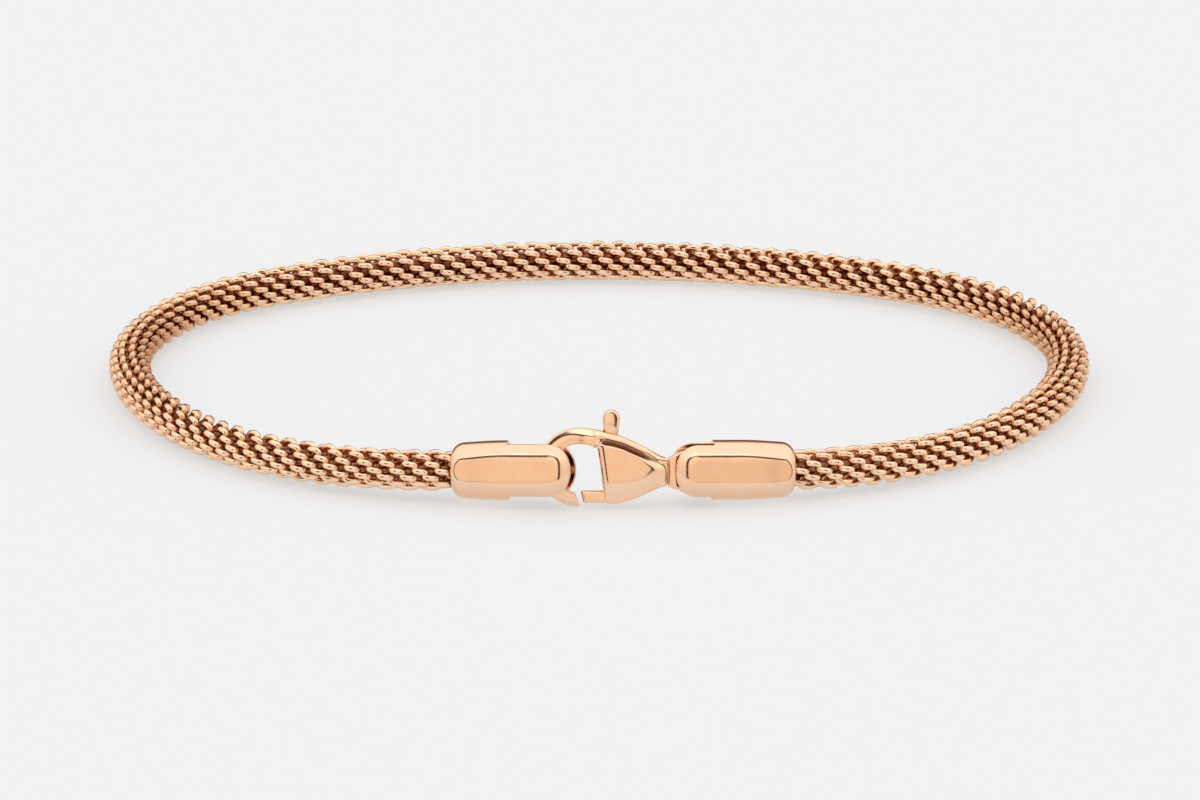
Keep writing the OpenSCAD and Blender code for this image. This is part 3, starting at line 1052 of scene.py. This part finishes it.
@dataclass
class EndCap(PolishedPiece):
    """Slotted end cap: a round bar with two flats, a round tip, a rounder mouth and a slot for the clasp."""

    slot_depth: float = 4.6
    pin_back: float = Fit.left_pin_back
    length: float = Fit.cap_len
    radius: float = 2.04
    mouth_radius: float = 1.9
    widest_at: float = 0.44
    half_flat: float = 1.79
    tip_round: float = 1.7
    mouth_round: float = 1.0
    mouth_start: float = 31.0
    slot_width: float = 1.9
    socket: Pair = (1.32, 1.9)
    bore: Pair = (0.41, 1.2)
    half_face: Pair = (0.74, 0.98)
    tip_bevel: Pair = (7.42, 34.0)
    face_edge: float = 0.17
    mouth_edge: float = 0.035
    slot_edge: float = 0.12
    cell: float = 0.048
    margin: float = 0.2

    def _radius(self, share: Array) -> Array:
        """Radius of the bar at a share of its growth from the mouth."""
        return self.mouth_radius + (self.radius - self.mouth_radius) * share

    def envelope(self, points: Array) -> Array:
        """Field of the cap before its slot and holes are cut.

        Args:
            points: Points of the drawing.

        Returns:
            The field's values there.
        """
        x, y, z = parts_of(points)
        away = np.hypot(y, z)
        mouth_x = self.mouth_round * cosd(self.mouth_start)
        tip_x = self.length - self.tip_round
        wide_x = self.length * self.widest_at
        taper = np.sin(np.clip((x - mouth_x) / (wide_x - mouth_x), 0, 1) * math.pi / 2)
        side = away - self._radius(taper)
        tip_y = self.radius - self.tip_round
        tip = np.hypot(x - tip_x, np.maximum(away - tip_y, 0)) - self.tip_round
        mouth_y = self.mouth_radius - self.mouth_round
        mouth = np.hypot(x - mouth_x, np.maximum(away - mouth_y, 0)) - self.mouth_round
        turned = np.where(x > tip_x, tip, np.where(x < mouth_x, mouth, side))
        solid = soft_max(turned, -x, self.slot_edge)
        eased = ease(taper)
        face = self.half_face[0] + (self.half_face[1] - self.half_face[0]) * eased
        flat = np.sqrt(self._radius(eased) ** 2 - face**2)
        start, lean = self.tip_bevel
        bevel = (np.abs(y) - self.half_flat) * cosd(lean) + (x - start) * sind(lean)
        edge = np.interp(x, (0, self.length / 2), (self.mouth_edge, self.face_edge))
        sides = soft_max(np.abs(y) - flat, bevel, self.face_edge)
        return soft_max(solid, sides, edge)

    def field(self, points: Array) -> Array:
        """Field of the whole cap.

        Args:
            points: Points of the drawing.

        Returns:
            The field's values there.
        """
        x, y, z = parts_of(points)
        away = np.hypot(y, z)
        solid = self.envelope(points)
        slot = np.maximum(np.abs(y) - self.slot_width / 2, self.length - self.slot_depth - x)
        solid = soft_max(solid, -slot, self.slot_edge)
        socket = np.maximum(away - self.socket[0], x - self.socket[1])
        solid = soft_max(solid, -socket, self.slot_edge)
        from_pin = np.hypot(x - self.length + self.pin_back, z)
        bore = np.maximum(from_pin - self.bore[0], np.abs(y) - self.bore[1])
        return np.maximum(solid, -bore)

    def solid(self) -> SmoothSolid:
        """Sets the cap's surface up.

        Returns:
            The surface, not yet drawn.
        """
        low = (-self.margin, -self.half_flat - self.margin, -self.radius - self.margin)
        high = (self.length + self.margin, self.half_flat + self.margin, self.radius + self.margin)
        # The envelope sets where the painted shade falls: in the slot, the socket and the bore
        return SmoothSolid(self.field, low, high, self.cell, self.envelope)


@dataclass
class ClaspDrawing:
    """Shapes of the lobster clasp seen from the front: X to the right, Z up, Y away."""

    eye_at: float
    hook_at: Pair = (-1.44, 0.2)
    pivot: Pair = (1.45, -0.72)
    half_body: float = 1.15
    half_hook: float = 0.52
    hook_radii: Pair = (1.55, 2.65)
    # Stations of the body: place, top, lower edge of the rim, lower edge of the face, bottom,
    # share of thickness
    body_rows: Rows = (
        (0.08, 2.68, 1.92, -0.9, -2.2, 1.0), (0.26, 2.68, 1.9, -0.92, -2.22, 1.0),
        (0.5, 2.62, 1.86, -0.93, -2.22, 1.0), (0.9, 2.5, 1.79, -0.93, -2.23, 1.0),
        (1.5, 2.31, 1.59, -0.92, -2.15, 1.0), (2.1, 2.05, 1.33, -0.86, -2.0, 1.0),
        (2.7, 1.77, 1.07, -0.74, -1.77, 1.0), (3.2, 1.53, 0.84, -0.62, -1.55, 0.97),
        (3.7, 1.24, 0.66, -0.52, -1.34, 0.9), (4.1, 1.02, 0.52, -0.48, -1.2, 0.8),
        (4.4, 0.9, 0.4, -0.42, -1.1, 0.68), (4.56, 0.82, 0.3, -0.36, -1.04, 0.6),
    )
    # Stations of the hook: angle, slant, growth of the inner and outer radius, share of thickening
    hook_rows: Rows = (
        (50, 0, 0.15, 0.1, 1), (58, 0, 0.13, 0.19, 1), (66, 0, 0.08, 0.12, 1), (78, 0, 0.02, 0.05, 0.8),
        (90, 0, 0, 0, 0.5), (102, 0, 0, 0, 0.25), (114, 0, 0, 0, 0.08), (126, 0, 0, 0, 0), (222, 0, 0, 0, 0),
        (234, 0, 0.04, 0, 0), (246, 3, 0.1, 0, 0), (256, 7, 0.15, 0, 0), (263.5, 10, 0.2, -0.06, 0),
    )
    body_edge: float = 0.12
    fine_edge: float = 0.05
    # Corners of the body's cross-section as shares of its half thickness
    rim_top: float = 0.58
    rim_side: float = 0.84
    groove: float = 0.7
    foot: float = 0.66
    rim_depth: float = 0.36
    rim_least: float = 0.16
    rim_under: float = 0.1
    face_bevel: float = 0.2
    groove_blend: float = 0.06
    neck_from: Pair = (2.5, 1.9)
    neck_round: float = 0.45
    neck_dome: float = 0.3
    neck_blend: float = 0.22
    # Groove at the neck: place, height of its bow's middle, bow, half width, depth
    neck_line: tuple[float, ...] = (4.68, -0.1, 0.1, 0.06, 0.13)
    rim_round: float = 0.26
    left_bevel: Pair = (0.34, 0.24)
    left_round: float = 0.15
    # Bevels of the hook's ring: shares of its half thickness and of its width
    outer_bevel: Pair = (0.38, 0.42)
    inner_bevel: Pair = (0.28, 0.14)
    hook_edge: float = 0.08
    hook_bevel_edge: float = 0.1
    hook_end_edge: float = 0.06
    hook_root: float = 0.8
    hook_blend: float = 0.25
    eye_radius: float = 1.42
    eye_hole: float = 0.6
    half_eye: float = 0.5
    eye_edges: Pair = (0.22, 0.1)
    eye_blend: float = 0.3
    # The neck's plate: start, distance of its end from the eye's middle, top, bottom, half thickness
    neck_plate: tuple[float, ...] = (4.5, 1.0, 0.84, -1.06, 0.6)
    neck_flare: Pair = (0.2, 0.16)
    neck_over: Pair = (0.4, 0.2)
    neck_edges: Pair = (0.2, 0.25)
    edge_slope: float = 0.17
    edge_fade: float = 1.6
    room: float = 0.46
    lever_room: Outline = (
        (-0.9, -2.8), (0.66, -2.8), (0.78, -1.95), (1.6, -1.6), (2.3, -1.25), (2.34, -0.6), (2.78, 1.8),
        (3.05, 2.4), (3.05, 3.6), (0.09, 3.6), (0.09, 1.95), (0.36, 1.0), (0.62, 0.1), (0.62, -0.55),
        (-0.9, -0.55),
    )
    pin_room: Pair = (0.27, 0.86)
    gate: Outline = (
        (-1.12, -1.51), (-0.96, -2.09), (0.52, -2.09), (0.85, -1.7), (1.7, -1.16), (1.2, -0.28),
        (0.85, -1.14), (0.3, -1.51),
    )
    arm: Outline = (
        (0.87, -0.52), (0.27, 2.0), (0.25, 2.7), (1.22, 2.7), (1.26, 2.0), (2.03, -0.52),
    )
    thumb_foot: Outline = ((0.27, 2.3), (0.18, 3.5), (1.38, 3.5), (1.24, 2.3))
    hub_radius: float = 0.62
    hub_bore: float = 0.29
    lever_edge: float = 0.3
    half_lever: float = 0.41
    half_thumb: float = 0.56
    thumb: Triple = (0.78, 3.5, 0.6)
    thumb_from: Pair = (2.4, 0.8)
    thumb_crest: Pair = (0.3, 2.9)
    thumb_swell: Pair = (0.16, 0.09)
    thumb_edge: float = 0.24
    gate_round: float = 0.13

    def _body(self, x: Array, y: Array, z: Array, plain: bool = False) -> Array:
        """Field of the body without hook and neck.

        Args:
            x: First coordinates of the points.
            y: Second coordinates.
            z: Third coordinates.
            plain: Whether it is the plain hull, without the groove under the rim.

        Returns:
            The field's values there.
        """
        rows = eased_rows(self.body_rows)
        station = x
        for _ in range(3):  # Each round brings the station nearer to its slanted cross-section
            station = x + self.edge_slope * np.clip(1 - station / self.edge_fade, 0, 1) * z
        top, step, face, low, share = row_at(rows, station)
        half = self.half_body * share
        rim = np.maximum(top - self.rim_depth, step + self.rim_least)
        side = np.abs(y)

        def slope(s0: float, z0: Array, s1: float, z1: Array) -> Array:
            """Distance outside the line between two corners of the cross-section."""
            ds, dz = (s1 - s0) * half, z1 - z0
            return ((z - z0) * ds - (side - s0 * half) * dz) / np.hypot(ds, dz)

        edge = self.body_edge + self.neck_round * ease((station - self.neck_from[0]) / self.neck_from[1])
        lower = slope(self.groove, top if plain else step, 1.0, step - self.face_bevel)
        solid = soft_max(lower, side - half, edge)
        if not plain:
            under = slope(self.rim_side, rim, self.groove, rim - self.rim_under)
            upper = soft_max(slope(self.rim_top, top, self.rim_side, rim), under, edge)
            upper = soft_min(upper, side - self.groove * half, self.groove_blend)
            solid = soft_min(upper, solid, self.groove_blend)
        solid = soft_max(solid, z - top, np.maximum(edge, self.rim_round))
        solid = soft_max(solid, slope(1.0, face, self.foot, low), edge)
        solid = soft_max(solid, low - z, edge)
        start, bevel_x, bevel_share = rows[0, 0], self.left_bevel[0], self.left_bevel[1] * self.half_body
        bevel = (side - self.half_body + bevel_share) * bevel_x - (station - start) * bevel_share
        solid = soft_max(solid, bevel / math.hypot(bevel_x, bevel_share), self.left_round)
        solid = soft_max(solid, start - station, self.body_edge)
        return soft_max(solid, station - rows[-1, 0], self.neck_dome)

    def _hook(self, x: Array, y: Array, z: Array) -> Array:
        """Field of the hook.

        Args:
            x: First coordinates of the points.
            y: Second coordinates.
            z: Third coordinates.

        Returns:
            The field's values there.
        """
        rows = eased_rows(self.hook_rows)
        u, v = x - self.hook_at[0], z - self.hook_at[1]
        r = np.hypot(u, v)
        turn = np.degrees(np.arctan2(v, u)) % 360
        angle = turn
        for _ in range(2):
            slant, grown_in, grown_out = row_at(rows, angle)[:3]
            r_in, r_out = self.hook_radii[0] + grown_in, self.hook_radii[1] + grown_out
            angle = turn - slant * (r - r_in) / (r_out - r_in)
        thick = self.half_body * self.hook_root - self.half_hook
        half = self.half_hook + thick * row_at(rows, angle)[3]
        width = r_out - r_in
        side = np.abs(y)

        def bevel(beyond: Array, shares: Pair) -> Array:
            """Distance outside a bevel along an edge of the ring."""
            rise, run = shares[0] * half, shares[1] * width
            return (beyond * rise + (side - half + rise) * run) / np.hypot(rise, run)

        outer, inner = bevel(r - r_out, self.outer_bevel), bevel(r_in - r, self.inner_bevel)
        bevels = soft_max(outer, inner, self.hook_edge)
        solid = soft_max(soft_max(r - r_out, side - half, self.hook_edge), r_in - r, self.hook_edge)
        solid = soft_max(solid, bevels, self.hook_bevel_edge)
        ends = np.radians(np.maximum(rows[0, 0] - angle, angle - rows[-1, 0])) * r
        return soft_max(solid, ends, self.hook_end_edge)

    def _eye(self, x: Array, y: Array, z: Array) -> Array:
        """Field of the eye and the neck.

        Args:
            x: First coordinates of the points.
            y: Second coordinates.
            z: Third coordinates.

        Returns:
            The field's values there.
        """
        away, side = np.hypot(x - self.eye_at, z), np.abs(y)
        ring = soft_max(away - self.eye_radius, side - self.half_eye, self.eye_edges[0])
        ring = soft_max(ring, self.eye_hole - away, self.eye_edges[1])
        start, from_eye, top, bottom, half = self.neck_plate
        end = self.eye_at - from_eye
        flare = ease((x - start) / (end - start))
        over_top, over_side = self.neck_edges
        above, below = (z - top - self.neck_flare[0] * flare), (bottom - self.neck_flare[1] * flare - z)
        neck = soft_max(soft_max(above, below, over_top), side - half, over_side)
        ends = np.maximum(start - self.neck_over[0] - x, x - end - self.neck_over[1])
        return soft_min(ring, soft_max(neck, ends, over_top), self.eye_blend)

    def hull(self, points: Array) -> Array:
        """Field of the body's plain hull, from which the depth of its groove and lever room is measured for
        the painted shade there.
        """
        x, y, z = parts_of(points)
        return soft_min(self._body(x, y, z, plain=True), self._eye(x, y, z), self.neck_blend)

    def envelope(self, points: Array) -> Array:
        """Field of the body with its hook, neck and eye, before the space for the lever is cut.

        Args:
            points: Points of the drawing.

        Returns:
            The field's values there.
        """
        x, y, z = parts_of(points)
        solid = soft_min(self._body(x, y, z), self._hook(x, y, z), self.hook_blend)
        solid = soft_min(solid, self._eye(x, y, z), self.neck_blend)
        place, height, bow, half_width, depth = self.neck_line
        line = np.maximum(np.abs(x - place + bow * (z - height) ** 2) - half_width, -depth - solid)
        return soft_max(solid, -line, self.fine_edge)

    def body_field(self, points: Array) -> Array:
        """Field of the whole body with the space for the lever.

        Args:
            points: Points of the drawing.

        Returns:
            The field's values there.
        """
        x, y, z = parts_of(points)
        solid = self.envelope(points)
        space = np.maximum(polygon_field(np.array(self.lever_room), x, z), np.abs(y) - self.room)
        solid = soft_max(solid, -space, self.fine_edge)
        radius, half = self.pin_room
        bore = np.maximum(np.hypot(x - self.pivot[0], z - self.pivot[1]) - radius, np.abs(y) - half)
        return np.maximum(solid, -bore)

    def lever_field(self, points: Array) -> Array:
        """Field of the lever: gate, hub, arm and thumb piece.

        Args:
            points: Points of the drawing.

        Returns:
            The field's values there.
        """
        x, y, z = parts_of(points)
        side = np.abs(y)
        from_pin = np.hypot(x - self.pivot[0], z - self.pivot[1])
        gate = polygon_field(np.array(self.gate), x, z) - self.gate_round
        arm = polygon_field(np.array(self.arm), x, z)
        flat = np.minimum(np.minimum(from_pin - self.hub_radius, gate), arm)
        flat = soft_max(flat, side - self.half_lever, self.lever_edge)
        thumb_x, thumb_z, radius = self.thumb
        round_top = np.hypot(x - thumb_x, z - thumb_z) - radius
        foot = polygon_field(np.array(self.thumb_foot), x, z)
        crest_x, crest_z = self.thumb_crest
        swell_x, swell_z = self.thumb_swell
        swell = self.half_thumb - self.half_lever
        swell = swell - swell_x * (x - crest_x) ** 2 - swell_z * np.maximum(z - crest_z, 0) ** 2
        thick = self.half_lever + swell * ease((z - self.thumb_from[0]) / self.thumb_from[1])
        head = soft_max(np.minimum(round_top, foot), side - thick, self.thumb_edge)
        return np.maximum(np.minimum(flat, head), self.hub_bore - from_pin)


@dataclass
class ClaspBody(PolishedPiece):
    """Body of the clasp with its hook and eye."""

    drawing: ClaspDrawing | None = None
    cell: float = 0.05
    groove_shade_depth: float = 0.24
    low: Triple = (-4.3, -1.35, -2.65)
    beyond_eye: float = 1.6
    high: Pair = (1.35, 3.1)

    def solid(self) -> SmoothSolid:
        """Sets the body's surface up.

        Returns:
            The surface, not yet drawn.
        """
        drawing = self.drawing
        high = (drawing.eye_at + self.beyond_eye, *self.high)
        # The hull sets where the painted shade falls: in the groove and the room for the lever
        return SmoothSolid(drawing.body_field, self.low, high, self.cell, drawing.hull, self.groove_shade_depth)


@dataclass
class ClaspLever(PolishedPiece):
    """Lever of the clasp, with its gate and thumb piece."""

    drawing: ClaspDrawing | None = None
    cell: float = 0.045
    low: Triple = (-1.5, -0.75, -2.5)
    high: Triple = (2.3, 0.75, 4.3)

    def solid(self) -> SmoothSolid:
        """The lever's surface."""
        return SmoothSolid(self.drawing.lever_field, self.low, self.high, self.cell)


@dataclass
class Studio:
    """Pale floor, soft surrounding light with darker flags round the camera, and the camera."""

    elevation: float = 19.0
    distance: float = 0.9
    target: Triple = (0.049, 0.694, -0.9455)
    lens: float = 388.8
    floor_side: float = 6.0
    surround: float = 1.17
    key_elevation: float = 68.0
    key_gain: float = 0.32
    key_edges: Pair = (0.9, 0.97)
    sensor: float = 36.0
    clip: Pair = (0.05, 20.0)
    # Light by how far a direction leans to the camera: place on the ramp, colour
    flags: Stops = (
        (0.1, (0.16, 0.08, 0.05)), (0.22, (1.0, 1.0, 1.0)), (0.835, (1.0, 1.0, 1.0)),
        (0.86, (0.08, 0.04, 0.025)), (0.924, (0.08, 0.04, 0.025)), (0.938, (0.97, 0.88, 0.8)),
        (1.0, (1.0, 0.93, 0.87)),
    )
    # Light by height, in the same way
    softbox: Stops = (
        (0.0, (0.74, 0.66, 0.58)), (0.3, (0.86, 0.79, 0.71)), (0.6, (0.97, 0.96, 0.95)),
        (0.85, (1.0, 1.0, 1.0)),
    )
    backdrop: tuple[float, float, float, float] = (0.81, 0.81, 0.813, 1.0)

    @staticmethod
    def _front(elevation: float) -> Triple:
        """Direction to the camera's side at an elevation."""
        return (0.0, -cosd(elevation), sind(elevation))

    def floor(self) -> None:
        """Lays the floor."""
        half = self.floor_side / 2
        mesh = bpy.data.meshes.new("floor")
        corners = [(-half, -half, 0), (half, -half, 0), (half, half, 0), (-half, half, 0)]
        mesh.from_pydata(corners, [], [(0, 1, 2, 3)])
        mesh.materials.append(PaleFloor().make())
        floor = new_object("floor", mesh)

    def camera(self) -> None:
        """Sets the camera at the photograph's angle."""
        data = bpy.data.cameras.new("camera")
        made = new_object("camera", data)
        data.sensor_width = self.sensor
        data.lens = self.lens
        data.clip_start, data.clip_end = self.clip
        back = Vector(self._front(self.elevation))
        made.location = Vector(self.target) * MM + back * self.distance
        made.rotation_mode = "QUATERNION"
        made.rotation_quaternion = (-back).to_track_quat("-Z", "Y")
        bpy.context.scene.camera = made

    def light(self) -> None:
        """Lights the scene from all round, brighter from above and darker in a band round the camera."""
        world = bpy.data.worlds.new("studio")
        bpy.context.scene.world = world
        graph = new_graph(world)
        look = graph.node("ShaderNodeTexCoord", out="Generated", vector=True)

        def towards(elevation: float) -> Sock:
            """How far a direction leans to the camera's side at an elevation."""
            dot = {"operation": "DOT_PRODUCT"}
            return graph.node(graph.vector_math, dot, {0: look, 1: self._front(elevation)}, out="Value")

        facing = 0.5 + 0.5 * towards(self.elevation)
        flags = graph.ramp(self.flags, facing)
        above = graph.node("ShaderNodeSeparateXYZ", {}, {0: look}, out="Z")
        lit = graph.mix(1.0, flags, graph.ramp(self.softbox, above), "MULTIPLY")
        glow = graph.ranged(towards(self.key_elevation), *self.key_edges, self.key_gain)
        lit = graph.vector_function("ADD", lit, glow)
        path = graph.node("ShaderNodeLightPath", out="Is Camera Ray")
        seen = graph.mix(path, lit, self.backdrop)
        shader = graph.node(
            "ShaderNodeBackground", {}, {"Color": seen, "Strength": self.surround}, out="Background"
        )
        graph.node("ShaderNodeOutputWorld", {}, {"Surface": shader})
        bpy.context.scene.view_settings.view_transform = "Standard"


def main() -> None:
    """Builds the bracelet's pieces in order and dresses them."""
    logging.basicConfig(level=logging.INFO, format="%(name)s %(message)s")
    fit = Fit()
    clasp_place, eye_at = fit.clasp()
    # Both finishes paint shade into recesses: the polish into grooves, slots and holes, the wire into the
    # weave
    polish = RoseGold(
        "polished_rose_gold", recess_shade_colour=(0.15, 0.05, 0.024), recess_from=0.15, recess_to=1.0
    ).make()
    wire = RoseGold(
        "wire_rose_gold", colour=(0.99, 0.745, 0.535), deep_colour=(0.985, 0.665, 0.445), roughness=0.14,
        line_stretch=(1.0, 1.0, 1.0), recess_shade_colour=(0.19, 0.052, 0.018), recess_from=0.2, recess_to=1.35,
        bounce_tint=(1.0, 0.84, 0.68),
    )
    drawing = ClaspDrawing(eye_at)
    pieces = [
        WovenTube(Loop(fit), wire),
        EndCap("cap_left", "end_cap_left", polish, fit.left_cap()),
        EndCap(
            "cap_right", "end_cap_right", polish, fit.right_cap(),
            slot_depth=2.85, pin_back=fit.right_pin_back,
        ),
        ClaspBody("lobster_clasp", "clasp_body", polish, clasp_place, drawing=drawing),
        ClaspLever("lobster_lever", "clasp_lever", polish, clasp_place, Body.LEVER, drawing=drawing),
    ]
    for piece in pieces:
        piece.build()
        piece.dress()
    for name in ("cross_pin_left", "cross_pin_right", "lever_pin"):
        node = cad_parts[name]
        node.data.materials.clear()
        node.data.materials.append(polish)
    studio = Studio()
    studio.floor()
    studio.camera()
    studio.light()


if __name__ == "__main__":
    main()
